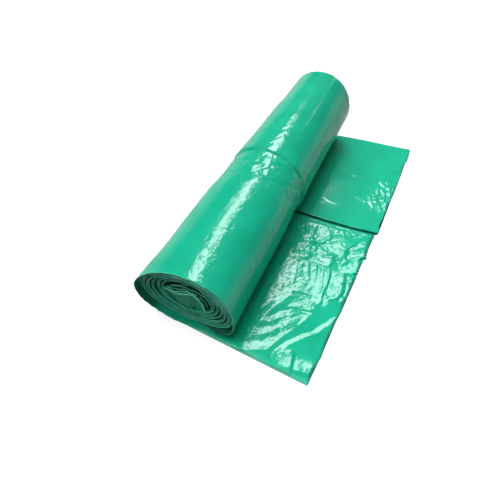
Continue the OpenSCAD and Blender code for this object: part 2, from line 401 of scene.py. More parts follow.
# The outermost wrap

# Its girth, its thickness at the rims, and how much further its inner face
# lies inside the roll away from them
GIRTH, FILM, SUNK = 205.0, 0.5, 2.8
# How far it sticks out past the ends at the side away from the loose bag and
# low down at the other side, and how far its inner start draws back
WRAP_OUT, LOW_OUT, DRAWN_IN = 3.5, 1.0, 5.4
# How far the film hangs out in a loop low down beside the loose bag, and how
# deep the waist is
HANG_OUT, WAIST_DIP = 3.6, 0.9
# Crumples of the waist as (depth, size, seed)
WAIST_CRUMPLES = ((0.28, 9.0, 11), (0.24, 4.6, 21), (0.17, 2.4, 26))
# Creases as (place round the girth, distance along, height)
SEAM_CREASE = [(99.0, 124.5, 0.0), (103.0, 125.4, 0.3), (113.0, 126.5, 0.35),
               (122.0, 128.6, 0.3), (128.0, 130.5, 0.0)]
FAR_CREASE = [(114.0, 200.0, 0.0), (115.0, 215.0, 0.14), (116.5, 252.0, 0.14),
              (117.0, 262.0, 0.0)]


def near_fold_on_roll(q):
    """Where the smaller fold ends on the roll, from the near end."""
    return FOLD_NEAR * ROLL_LEN + FOLD_CREEP * q


def far_fold_on_roll(q):
    """Where the larger fold begins on the roll, from the near end."""
    return FOLD_FAR * ROLL_LEN - FOLD_DRIFT * q


def wrap_edge(q, out):
    """How far the outermost film sticks out past the end of the roll, where
    the strip leaves it by `out`."""
    side = np.sin(math.pi * clamp01(2 * q)) ** 2 * (q < 0.5)
    low_side = smooth((q - 0.76) / 0.12 + 0.5)
    start = smooth((q - 0.86) / 0.14)
    return mix(out, 0.0, smooth(2 * q)) + WRAP_OUT * side + LOW_OUT * low_side - DRAWN_IN * start


def short_puckers(girth, along):
    """Ten short slanting puckers past the waist, one behind another."""
    high = np.zeros(np.broadcast(girth, along).shape)
    for n in range(10):
        y = 124.0 + 4.7 * n + 1.2 * math.sin(5.1 * n)
        g = 97.0 + 0.5 * n + 1.6 * math.sin(3.7 * n)
        long = 8.0 + 3.0 * math.sin(1.9 * n + 1)
        path = [(g, y, 0.02), (g + 0.25 * long, y + 0.5 * long, 0.18), (g + 0.5 * long, y + long, 0.02)]
        high += crest(girth, along, path, 1.0, 1.6)
    return high


def wrap_relief(q, along):
    """How far the outermost film dips, over the turn q and along the roll."""
    girth = GIRTH * q
    near_fold = near_fold_on_roll(q) + 3.5 * waver(girth / 11.0, 6)
    past_fold = along - far_fold_on_roll(q)
    # Where only the middle strip is wound the roll has a waist, and the
    # larger fold stands proud with a step
    waist = smooth((along - near_fold) / 14.0 + 0.4) * smooth(-past_fold / 1.2 + 0.5)
    proud = mix(0.3, 0.6, smooth((q - 0.54) / 0.08)) * smooth(past_fold / 1.6 + 0.5)
    dip = WAIST_DIP * waist - proud * bell(np.maximum(0.0, past_fold), 20.0)
    dip -= crest(girth, along, SEAM_CREASE, 1.2, 3.0)
    for depth, size, seed in WAIST_CRUMPLES:
        dip += waist * depth * crumple(girth, along, size, seed, 0.3)
    # The near rim flares a little
    flare = (1 - np.exp(-np.maximum(0.0, along) / 22.0)) * smooth((90.0 - along) / 70.0)
    dip += 1.6 * flare * band(q, 0.25, 0.75, 0.2)
    dip -= crest(girth, along, FAR_CREASE, 1.3, 1.3)
    # Broad unevenness, and long shallow puckers along the roll
    dip += 0.15 * soft_noise(girth / 50.0, along / 80.0, 31)
    dip += 0.05 * soft_noise(girth / 6.5, along / 11.0, 41)
    near_half = smooth((150.0 - along) / 40.0)
    dip += mix(0.025, 0.06, near_half) * crumple(girth, along, 2.7, 51)
    dip += mix(0.03, 0.05, near_half) * crumple(girth, along * 0.4, 4.0, 56)
    # Slack wrinkles on the side away from the loose bag
    ends = smooth(along / 12.0) * smooth((ROLL_LEN - along) / 12.0)
    wrinkles = 0.5 * crumple(girth, along * 0.6, 17.0, 61, 0.4) + 0.15 * crumple(girth, along, 6.5, 66, 0.4)
    dip += band(q, 0.08, 0.42, 0.07) * ends * wrinkles
    dip -= short_puckers(girth, along)
    # Fine ripples low on the side of the loose bag
    ripples = np.sin(TAU * (along / 3.4 + 0.8 * soft_noise(girth / 9.0, along / 14.0, 71)))
    dip += 0.05 * band(q, 0.60, 0.76, 0.05) * band(along, 135.0, 262.0, 24.0) * ripples
    return dip - HANG_OUT * band(q, 0.80, 0.94, 0.1) * clamp01(1 - along / 210.0) ** 1.5


def make_wrap(material, inside):
    """The outermost turn of the web. `inside` is the material of its inner
    face, a darker copy of the film that paints shade there, apart from where that runs on into the loose
    bag."""
    # Stations lie closest over the top and the side of the loose bag
    q = np.concatenate([np.linspace(0.0, 0.4, 60)[:-1], np.linspace(0.4, 0.74, 128)[:-1],
                        np.linspace(0.74, 1.13, 62)])[:, None]
    out_cols = np.linspace(0.0, 1.0, 371)[None, :]
    in_cols = np.array([1, 0.997, 0.985, 0.95, 0.8, 0.6, 0.4, 0.2, 0.05, 0.015, 0.003, 0])[None, :]
    outer = out_cols.size
    from_rim = smooth(np.minimum(in_cols, 1 - in_cols) / 0.05)
    ragged = 0.35 * waver(q * 40, 81) + 0.25 * waver(q * 130, 82)

    def surface(cols, follow, depth):
        """One face: `follow` is how far it shares the relief of the film."""
        start = ragged - wrap_edge(q, NEAR_OUT)
        stop = ROLL_LEN + wrap_edge(q, FAR_OUT) + ragged
        along = mix(start, stop, cols)
        x, z = spiral(cols, q, 0.0, follow * wrap_relief(q, along) * smooth(q / 0.08) + depth)
        return placed(x, along, z)

    rows = np.concatenate([surface(out_cols, 1.0, 0.0),
                           surface(in_cols, 1.0 - from_rim, FILM + SUNK * from_rim)], 1)
    outline = [(c, 0.0) for c in out_cols[0]] + [(c, -1.0) for c in in_cols[0]]

    along = rows[:, :, 1] + ROLL_LEN / 2
    waist = band(along, near_fold_on_roll(q), far_fold_on_roll(q), 10.0)
    creased = np.maximum(waist, mix(0.25, 0.9, smooth((130.0 - along) / 40.0)))
    rim = np.concatenate([out_cols[0], in_cols[0]])
    # Painted highlight along the rims of the film
    at_rim = smooth(1 - np.minimum(rim, 1 - rim) / 0.003)
    pale = clamp01(0.7 * at_rim * (0.7 + 0.5 * waver(q * 60, 83)))
    # The inner face is in shade, least where it runs into the loose bag
    shade = mix(0.35, mix(0.6, 0.85, band(q, 0.78, 1.0, 0.1)), smooth((q - 0.07) / 0.08))
    hollow = shade * (np.arange(rows.shape[1]) > outer)
    piece = sweep("roll_wrap", rows, outline, material, creased=creased, pale=pale, hollow=hollow)
    # The darker material on the inner face is painted shade
    piece.data.materials.append(inside)
    for face in piece.data.polygons:
        station = min(face.vertices) // rim.size
        if min(v % rim.size for v in face.vertices) >= outer and q[station, 0] > 0.12:
            face.material_index = 1


# The turns inside the wrap

# Where they begin, as q, and how many loops of points a turn has
FIRST_TURN = 0.16
STATIONS_A_TURN = 110
# Share of the pitch that a turn fills
TURN_SHARE = 0.64
# Section of a turn at its edge: (share of the turn's thickness, how far the
#  edge falls back). A broad lip and a narrow one have a gap between them, which also gets painted shade.
EDGE_RIDGES = [(0.0, 3.0), (0.0, 0.5), (0.05, 0.1), (0.16, -0.1), (0.30, 0.0), (0.42, 0.3),
               (0.52, 0.5), (0.56, 1.3), (0.64, 1.3), (0.68, 0.5), (0.76, 0.3), (0.86, 0.35),
               (0.94, 0.5), (0.98, 0.7), (1.0, 1.3), (1.0, 3.0)]
# Behind its edge a turn draws inwards, clear of the wrap: (depth, share of
# the pitch)
EDGE_BACK = [(7.0, 0.5), (14.0, 1.1)]


def recess(q):
    """How far the wound edges lie inside the end of the roll."""
    low = np.maximum(0.0, np.cos(TAU * q)) ** 1.5
    deep = smooth((q - 1) / (0.7 * TURNS))
    return DISH * (1 - (1 - deep) * (1 - 0.9 * low))


def make_turns(material):
    q = np.linspace(FIRST_TURN, TURNS, int((TURNS - FIRST_TURN) * STATIONS_A_TURN))[:, None]
    # The outer turns keep clear of the wrap, and both ends of the web are thin
    skin = 0.24 * smooth((1.35 - q) / 0.3) + 0.3 * band(q, 0.82, 0.96, 0.1)
    filled = TURN_SHARE * smooth((q - FIRST_TURN) / 0.16) * smooth((TURNS - q) / 0.1)
    filled = filled * (1 + 0.07 * waver(q * 3.1, 91))
    thick = np.maximum(0.03, np.minimum(filled, 0.92 - skin))
    inner_shift = smooth((2.1 - q) / 0.9)

    def behind(end, part):
        """The turn's outer or inner face behind its edge."""
        cols = []
        for depth, shift in EDGE_BACK:
            x, z = spiral(float(end), q, skin + part * thick + shift * inner_shift)
            cols.append(placed(x, from_end(end, recess(q) + depth), z))
        return cols

    def edge(end):
        cols = []
        low = np.maximum(recess(q) + 0.5 * waver(q * 1.7, 120 + end), 0.25)
        for n, (part, back) in enumerate(EDGE_RIDGES):
            wobble = waver(q * 7.0, 100 + end, n * 3.7)
            fine = waver(q * 31.0, 110 + end, n * 5.3)
            at_back = n in (0, len(EDGE_RIDGES) - 1)
            lip = back if at_back else back * (1 + 0.5 * wobble) + 0.22 * fine
            shift = 0.06 * wobble if 0 < part < 1 else 0.0
            x, z = spiral(float(end), q, skin + (part + shift) * thick)
            cols.append(placed(x, from_end(end, low + lip), z))
        return cols

    loop = behind(0, 1.0)[::-1] + edge(0)[::-1] + behind(0, 0.0)
    loop += behind(1, 0.0)[::-1] + edge(1) + behind(1, 1.0)
    rows = np.concatenate(loop, 1)

    # A flat outline in the same order, to close the ends of the web
    wide, long = 3.0, 40.0
    backs = [depth for depth, shift in EDGE_BACK]
    outline = [(wide, d) for d in backs[::-1]] + [(wide * u, v) for u, v in EDGE_RIDGES[::-1]]
    outline += [(0.0, d) for d in backs] + [(0.0, long - d) for d in backs[::-1]]
    outline += [(wide * u, long - v) for u, v in EDGE_RIDGES] + [(wide, long - d) for d in backs]

    # Painted highlight on the lips, and painted shade in the gaps between them and behind the edges
    lip_highlight = [bell(part - 0.16, 0.14) + 0.5 * bell(part - 0.80, 0.09) for part, back in EDGE_RIDGES]
    gap_shade = [clamp01((back - 0.6) / 0.8) for part, back in EDGE_RIDGES]
    plain, deep = [0.0] * len(backs), [1.0] * len(backs)
    patchy = 0.75 + 0.35 * waver(q * 23.0, 130)
    pale = np.array(plain + lip_highlight[::-1] + plain + plain + lip_highlight + plain) * patchy
    hollow = np.array(deep + gap_shade[::-1] + deep + deep + gap_shade + deep) + 0 * q
    sweep("wound_turns", rows, outline, material, pale=pale, hollow=hollow)


# The middle, where the start of the web is crumpled into the slot

# Upper edge of the leaf and upper limit of the gap over it at the near end,
# as (x, z), and their scale at the far end about the middle of the slot
LEAF_EDGE = [(-19.0, 25.6), (-17.5, 25.4), (-12.4, 25.0), (-7.0, 26.0), (0.0, 29.0), (4.6, 29.5),
             (8.2, 28.0), (10.4, 24.0), (11.4, 19.5), (12.3, 17.0), (13.5, 12.0)]
GAP_TOP = [(-18.2, 26.4), (-17.8, 27.0), (-9.8, 33.0), (0.0, 36.5), (7.0, 35.5), (12.9, 31.0),
           (16.3, 26.0), (17.2, 21.0), (16.6, 15.0)]
SLOT_MIDDLE = 26.35
FAR_SCALE_X, FAR_SCALE_Z = 0.7, 1.15
# A fold in the leaf, as (x, height over the middle, depth)
LEAF_FOLD = [(3.0, -14.0, 1.0), (5.0, -3.0, 1.4), (3.0, 2.0, 0.2)]


def make_middle(material):
    """Film crumpled into a leaf that fills the lower part of the slot, under
    a gap that runs deeper."""
    rings, spokes = 64, 240
    a = np.linspace(0, TAU, spokes, endpoint=False)
    s = 1 - np.arange(rings + 1)[:, None] / rings

    def face(end):
        """Points of an end, and how much painted highlight and painted shade they get: highlight along the
        leaf's edge, shade in the gap over it.
        """
        x = half_x(float(end), TURNS - 0.15) * s * np.sin(a)
        z = half_z(float(end), TURNS - 0.15) * s * np.cos(a)
        wide, tall = (1.0, 1.0) if end == 0 else (FAR_SCALE_X, FAR_SCALE_Z)
        edge = [(px * wide, (pz - SLOT_MIDDLE) * tall) for px, pz in LEAF_EDGE]
        side = signed_distance(x, z, edge)
        gap = smooth(side / 1.6 + 0.2)
        leaf = 0.9 + 0.5 * crumple(x, z, 9.0, 131 + end) - 0.5 * bell(side + 0.9, 0.7)
        leaf += crest(x, z, LEAF_FOLD, 4.0, 2.0)
        inside = 13.0 + 3.0 * crumple(x, z, 5.0, 141 + end)
        points = placed(x, from_end(end, DISH + mix(leaf, inside, gap)), z + axis_z(float(end)))
        return points, bell(side + 0.7, 0.5), 0.9 * gap

    def listed(near, far):
        """Values of both ends in the order of the points: the rings from the
        rim inwards, then the middle once."""
        return np.concatenate([part for v in (near, far) for part in
                               (v[:rings].reshape(rings * spokes, -1), v[rings][:1].reshape(1, -1))])

    points, pale, hollow = (listed(near, far) for near, far in zip(face(0), face(1)))
    half = rings * spokes + 1
    faces = []
    for end, base in ((0, 0), (1, half)):
        turned = 1 if end == 0 else -1
        for ring in range(rings - 1):
            first, second = base + ring * spokes, base + (ring + 1) * spokes
            for k in range(spokes):
                n = (k + 1) % spokes
                faces.append([first + k, first + n, second + n, second + k][::turned])
        last = base + (rings - 1) * spokes
        for k in range(spokes):
            faces.append([last + k, last + (k + 1) % spokes, base + half - 1][::turned])
    for k in range(spokes):
        n = (k + 1) % spokes
        faces.append([k, half + k, half + n, n])
    add_piece("middle_leaf", points, outward(points, faces), material, pale=pale, hollow=hollow)


def make_films(material):
    """Thin edges of film that show in the gap of the middle, at both ends."""
    sheets, film, deep, stations = 4, 0.4, 15.0, 90
    # Section of a film: (share of its thickness, how far it falls back)
    section = [(0.0, 0.0), (0.5, -0.25), (1.0, 0.0), (1.0, 0.5), (1.0, deep), (0.0, deep), (0.0, 0.5)]
    loop = len(section)
    t = np.linspace(0.0, 1.0, stations)
    low, high = along_path(LEAF_EDGE[1:], t), along_path(GAP_TOP, t)
    points, faces = [], []
    for end, sheet in [(e, n) for e in (0, 1) for n in range(sheets)]:
        part = (sheet + 0.35) / 4.6
        part = part + 0.10 * waver(t * (5 + sheet), 401 + sheet + 10 * end) * np.sin(math.pi * t)
        x, z = mix(low[0], high[0], part), mix(low[1], high[1], part)
        x, z = x * mix(1.0, 0.68, float(end)), (z - axis_z(0.0)) * mix(1.0, FAR_SCALE_Z, float(end))
        x = x + 0.35 * waver(t * 19, 421 + sheet)
        z = z + 0.45 * waver(t * 14, 431 + sheet + end) + axis_z(float(end))
        front = DISH + 0.9 + 0.9 * sheet + 1.1 * waver(t * 7, 441 + sheet + end)
        step = np.hypot(np.gradient(x), np.gradient(z))
        nx, nz = -np.gradient(z) / step, np.gradient(x) / step
        rows = [placed(x + side * film * nx, from_end(end, front + back), z + side * film * nz)
                for side, back in section]
        mine = np.stack(rows, 1).reshape(-1, 3)
        last = (stations - 1) * loop
        rings = swept_faces(stations, loop) + [list(range(loop))[::-1], list(range(last, last + loop))]
        triangles = [[f[0], f[k], f[k + 1]] for f in rings for k in range(1, len(f) - 1)]
        first = len(points)
        faces += [[v + first for v in f] for f in outward(mine, triangles)]
        points += mine.tolist()
    # Painted highlight on the front edges only, and painted shade on what lies behind them
    backs = np.tile([back for side, back in section], 2 * sheets * stations)
    add_piece("middle_films", points, faces, material, pale=1.0 * (backs <= 0), hollow=1.0 * (backs >= 0.5))


# The loose bag

# Crest of the fold that slants over the smaller fold, and of the ridge below
# it, as (x, y)
SLANT = [(40.0, -8.0), (40.5, -3.9), (53.7, 2.5), (58.1, 5.5), (62.6, 17.0), (68.3, 28.4),
         (72.1, 37.5), (74.5, 45.1), (78.8, 51.9), (83.8, 59.1), (93.9, 65.0), (110.0, 72.0)]
LOWER_RIDGE = [(65.3, -8.0), (65.2, 4.8), (69.8, 14.4), (76.3, 23.5), (82.5, 30.0), (88.2, 40.7),
               (92.8, 48.4), (104.0, 66.0)]
# Slopes of flanks that face the roll or turn away from it, and widths of the
# ridge and of the leaf above the slanting fold
RISE, FALL = 0.1, 0.06
RIDGE_W, LEAF_W = 3.6, 6.5
# Folds of the smaller fold, as (crest in (x, y, height), widths of its flanks)
SMALL_CRESTS = [
    ([(66, -5, 0.2), (78, -1.5, 1.0), (92, 0.5, 1.1)], 9.5, 2.5),
    ([(42, 8, 0.2), (44, 24, 0.5), (46.8, 33.6, 0.55), (53.8, 49.9, 0.55), (57.7, 57.4, 0.2)], 5.5, 5.0),
    ([(47, 10, 0.2), (54.8, 19.3, 0.55), (64.5, 32, 0.6), (66.5, 39, 0.2)], 5.5, 4.5),
    ([(46, 21, 0.2), (50.6, 25.2, 0.45), (58, 33.5, 0.5), (64.6, 41.5, 0.3)], 5.0, 3.5),
    ([(33, 44, 0.2), (35, 60, 0.5), (37.5, 74, 0.45), (39, 83, 0.2)], 3.0, 3.0)]
SMALL_VALLEYS = [
    ([(56.1, 38.8, 0.2), (62.1, 42.8, 0.5), (70.7, 44.1, 0.4), (75, 45, 0.2)], 2.0, 3.0),
    ([(57.0, 56.5, 0.4), (63.0, 57.6, 0.35), (70.5, 58.1, 0.1)], 1.2, 3.0)]
# Short creases in its bright area, and in the larger fold
SMALL_CREASES = [
    [(52.8, 65.3, 0.2), (49.6, 78.1, 0.5)], [(61.8, 72.1, 0.1), (56.5, 85.2, 0.5)],
    [(66.5, 76, 0.2), (62.6, 87, 0.5)], [(70.8, 76.5, 0.2), (68, 87.1, 0.4)],
    [(78.1, 60.7, 0.3), (77.2, 65.8, 0.5), (73.6, 68.6, 0.5), (70.8, 74.1, 0.2)],
    [(84.5, 69.4, 0.3), (79.6, 73.8, 0.5), (76.8, 79.4, 0.2)],
    [(93.7, 64, 0.4), (88.6, 67, 0.5), (86.1, 72.4, 0.3), (87.0, 80.0, 0.1)],
    [(72, 45.5, 0.2), (68.6, 51.7, 0.5), (70.0, 57.0, 0.2)]]
LARGE_CREASES = [
    [(44, 214, 0.0), (55, 207, 0.1), (66, 204, 0.0)], [(50, 226, 0.0), (60, 229, 0.1), (64, 237, 0.0)],
    [(60, 181, 0.0), (72, 177, 0.12), (84, 179, 0.05)], [(38, 168, 0.0), (47, 163, 0.1), (58, 162, 0.0)],
    [(86, 216, 0.1), (88, 226, 0.3), (93, 233, 0.2)], [(70, 252, 0.1), (78, 256, 0.3), (86, 255, 0.1)]]
# Facets of the middle strip that lean: the right edge of each is a crest, and
# its gentle flank reaches towards the roll
STRIP_FACETS = [
    ([(50.0, 103.0, 0.5), (51.0, 109.0, 0.9), (49.5, 116.0, 0.6)], 13.0, 2.2),
    ([(60.0, 116.0, 0.5), (61.5, 122.0, 0.7), (59.0, 128.0, 0.4)], 8.0, 2.2),
    ([(75.5, 108.0, 0.9), (78.0, 113.0, 1.3), (76.0, 118.5, 0.9)], 17.0, 2.2),
    ([(83.0, 127.0, 0.9), (81.0, 121.0, 0.9), (79.0, 117.0, 0.3)], 11.0, 2.2),
    ([(93.0, 94.0, 0.8), (94.0, 108.0, 1.2), (92.0, 121.0, 1.0)], 12.0, 2.2),
    ([(52.0, 92.0, 0.5), (54.0, 98.0, 0.6)], 10.0, 2.2),
    ([(71.0, 92.0, 0.7), (72.0, 98.0, 0.6)], 9.0, 2.2),
    ([(47.0, 120.0, 0.3), (48.0, 126.0, 0.4)], 7.0, 2.2),
    ([(93.0, 128.0, 0.8), (93.0, 136.0, 0.8)], 8.0, 2.2)]
# A light band along the larger fold, and a crease towards the torn edge
STRIP_CREASES = [
    ([(35, 131, 0.3), (52, 131.6, 0.5), (68, 132.5, 0.4), (80, 134, 0.2)], 3.0, 4.0),
    ([(57, 103, 0.1), (65, 100.6, 0.4), (81, 103, 0.4), (88, 101, 0.1)], 1.6, 2.4)]
# A star of short creases and some single ones, as pairs of ends
STAR = [((52.5, 110.2), (37, 106)), ((52.5, 110.2), (49, 101)), ((52.5, 110.2), (46, 118)),
        ((52.5, 110.2), (61, 119)), ((52.5, 110.2), (66, 103)), ((52.5, 110.2), (57, 98)),
        ((57, 113), (72, 119)), ((42, 95), (60, 99)), ((63, 122), (80, 131)), ((80, 100), (90, 112))]
# Length of a tooth of the torn edge, and where longer bits of film are left,
# as (y, reach)
TOOTH = 2.7
TUFTS = ((138.0, 4.2), (113.0, 4.8), (108.0, 3.0), (93.0, 2.2), (124.0, 1.8), (52.0, 1.2))
# Thickness that the film thins out to at the torn edge and at every rim, and
# height of the outermost columns
TORN_T, RIM_T = 0.8, 0.3
RIM_Z = 0.12
# Where the larger fold begins under the roll, and x where the sheet starts
LARGE_FOLD_Y, SHEET_START = 138.0, -1.0


def near_edge(x):
    return -NEAR_OUT - NEAR_FLARE * clamp01(x / TAIL_REACH)


def far_edge(x):
    return ROLL_LEN + FAR_OUT + FAR_FLARE * clamp01(x / TAIL_REACH)


def near_fold_line(x):
    return FOLD_NEAR * ROLL_LEN - 1.0 - 1.4 * clamp01(x / TAIL_REACH)


def far_fold_line(x):
    return LARGE_FOLD_Y + 4.0 * clamp01(x / TAIL_REACH) ** 4


def small_fold_creased(x, y):
    """How crinkled the smaller fold is: most above the slanting fold, least in
    the flank below it."""
    above = smooth(signed_distance(x, y, SLANT) / 3.0 + 0.4)
    ridge = band(signed_distance(x, y, LOWER_RIDGE), 0.0, RIDGE_W, 2.0)
    corner = band(y, -6.0, 12.0, 8.0) * smooth((x - 64.0) / 8.0)
    most = np.maximum(above, 0.7 * np.maximum(ridge, corner))
    return np.maximum(0.12, most) * smooth((x - 24.0) / 10.0)


def torn_crinkles(x, y):
    """1 where the larger fold is crinkled at its torn edge, 0 elsewhere."""
    return band(x, 78.0, 99.0, 12.0) * band(y, 172.0, 212.0, 18.0)


def small_fold_wrinkles(x, y):
    """Wrinkles of the smaller fold. Flanks that rise away from the roll catch
    the light."""
    above, lower = signed_distance(x, y, SLANT), signed_distance(x, y, LOWER_RIDGE)
    leaf = 1.0 + RISE * np.maximum(0.0, LEAF_W - above)
    flank = 1.0 + RISE * LEAF_W + RISE * above + 2 * RISE * np.clip(RIDGE_W - lower, 0.0, RIDGE_W)
    flank = flank + (RISE - FALL) * np.maximum(0.0, -lower)
    high = np.maximum(np.where(above > 0, leaf, flank), 0.0) * smooth((x - 27.0) / 14.0)
    # Pleats above the slanting fold, and in the near corner
    wandering = x + 0.12 * (y - 70.0) + 2.0 * soft_noise(x / 9.0, y / 9.0, 205)
    high += pleats(wandering, 66.0, 11.0, 0.11) * smooth((y - 38.0) / 14.0) * smooth(above / 5.0)
    high += pleats(x + 0.2 * y, 63.0, 15.0, 0.085) * smooth((14.0 - y) / 8.0)
    high += crests(x, y, SMALL_CRESTS) - crests(x, y, SMALL_VALLEYS)
    for path in SMALL_CREASES:
        high += 0.55 * crest(x, y, path, 3.6, 1.3)
    rough = 0.12 * crumple(x, y, 5.2, 211, 0.25) + 0.065 * crumple(x, y, 2.7, 216, 0.25)
    high += small_fold_creased(x, y) * (rough + 0.03 * crumple(x, y, 1.5, 217, 0.2))
    return high + 0.08 * crumple(x, y, 13.0, 201)


def strip_wrinkles(x, y):
    """Crumples of the single middle strip: leaning facets, with a star of
    short creases."""
    high = crests(x, y, STRIP_FACETS) + crests(x, y, STRIP_CREASES)
    for n, ((x0, y0), (x1, y1)) in enumerate(STAR):
        path = [(x0, y0, 0.4), (mix(x0, x1, 0.5), mix(y0, y1, 0.5), 0.4), (x1, y1, 0.05)]
        high += crest(x, y, path, 1.6 + 0.8 * (n % 3), 1.4 + 0.8 * (n % 2))
    edge = band(y, 88.0, 99.0, 4.0)
    high += mix(0.14, 0.25, edge) * crumple(0.7 * x, y, 6.5, 221, 0.2)
    for depth, size, seed in ((0.1, 3.6, 231), (0.06, 2.2, 241), (0.035, 1.3, 246)):
        high += depth * crumple(x, y, size, seed, 0.2)
    return high


def large_fold_wrinkles(x, y):
    """The larger fold lies smooth, with low swells and a few crinkles at its
    torn edge."""
    high = 0.45 * bell(x - 60, 26.0) * smooth((y - 160) / 50)
    rough = 0.26 * crumple(x, y, 4.8, 251) + 0.13 * crumple(x, y, 2.4, 261)
    wandering = x + 0.3 * y + 2.0 * soft_noise(x / 6.0, y / 6.0, 255)
    high += torn_crinkles(x, y) * (rough + pleats(wandering, 100.0, 6.0, 0.085))
    for path in LARGE_CREASES:
        high += crest(x, y, path, 2.0, 1.0)
    high += 0.09 * band(y, 196, 262, 26.0) * band(x, 40, 90, 24.0) * crumple(x, y, 6.0, 271)
    return high + 0.18 * soft_noise(x / 34.0, y / 52.0, 281) + 0.05 * crumple(x, y, 16.0, 291)


def torn_edge(y):
    """Reach of the torn edge: the larger fold stands out further, and what is
    left of the perforation is a row of short teeth."""
    outside = 1 - smooth((y - 141.0) / 1.5)
    reach = TAIL_REACH - TORN_STEP * outside * (1 + 0.6 * smooth(1 - y / 90.0))
    phase = y / TOOTH + 0.25 * waver(y / 9.0, 301)
    teeth = 0.45 * (np.abs(2 * (phase - np.floor(phase)) - 1) - 0.5)
    ragged = 0.8 * waver(y / 9.0, 311) + 0.35 * waver(y / 2.4, 321)
    tufts = sum(size * bell(y - place, 2.2) for place, size in TUFTS)
    return reach - 0.7 + teeth + ragged + tufts * (0.35 + waver(y / 0.9, 331))


def lay(x):
    """Fades wrinkles out where the strip goes under the roll."""
    return smooth((x - 16.0) / 16.0)


def rim_distance(x, y):
    return np.minimum(np.minimum(y - near_edge(x), far_edge(x) - y), torn_edge(y) - x)


def thin_at(x, y, full):
    """Thickness, which thins out towards the torn edge and rounds off at every
    rim."""
    flat = mix(full, min(full, TORN_T), smooth((x - 30.0) / 60.0))
    return mix(RIM_T, flat, np.sqrt(clamp01(rim_distance(x, y) / 0.9)))


def ease(x, y):
    """Fades wrinkles out towards the rims."""
    return smooth(rim_distance(x, y) / 1.5 + 0.25)


def under_roll(x, z):
    """Heights, pressed flat where the roll lies on the strip."""
    z = np.maximum(z, RIM_T)
    return mix(np.minimum(z, 0.5), z, smooth((x - 6.0) / 9.0))


def small_top(x, y):
    """Upper face of the smaller fold, which lifts at its edge."""
    inwards = near_fold_line(x) - y
    lift = 1.1 * np.exp(-inwards / 5.0) * smooth(inwards / 1.5 + 0.2)
    high = thin_at(x, y, FLAP_T) + lay(x) * (lift + ease(x, y) * small_fold_wrinkles(x, y))
    rim = 0.4 * bell(y - near_edge(x) - 1.0, 1.3) * np.maximum(0.0, waver(x / 7.0, 351))
    return under_roll(x, high + rim)


def strip_top(x, y):
    """Upper face of the middle strip, which runs in under both folds."""
    past = np.maximum(0.0, y - near_fold_line(x))
    wrinkles = strip_wrinkles(x, y) + 0.6 * np.exp(-past / 3.0)
    high = thin_at(x, y, STRIP_T) + lay(x) * ease(x, y) * wrinkles
    free = band(y, near_fold_line(x) + 2, far_fold_line(x) - 2, 5.0)
    return under_roll(x, mix(0.7, high, free))


def large_top(x, y):
    """Upper face of the larger fold, which stands up along its edge."""
    past = np.maximum(0.0, y - far_fold_line(x))
    lift = 1.5 * np.exp(-past / 8.0) * (1 + 0.25 * waver(x / 12.0, 341))
    high = thin_at(x, y, FLAP_T) + lay(x) * (lift + ease(x, y) * large_fold_wrinkles(x, y))
    return under_roll(x, high)


def flat_at(height):
    return lambda x, y: height + 0 * x


def edge_below(top, line, drop, least):
    """Height `drop` under the edge of a fold along `line`, at least `least`."""
    return lambda x, y: np.maximum(top(x, line(x)) - drop, least)


def large_lip(x, y):
    """Lower face of the larger fold a little inside its edge."""
    return np.maximum(large_top(x, far_fold_line(x) + 2.6) - 0.9, 1.05)


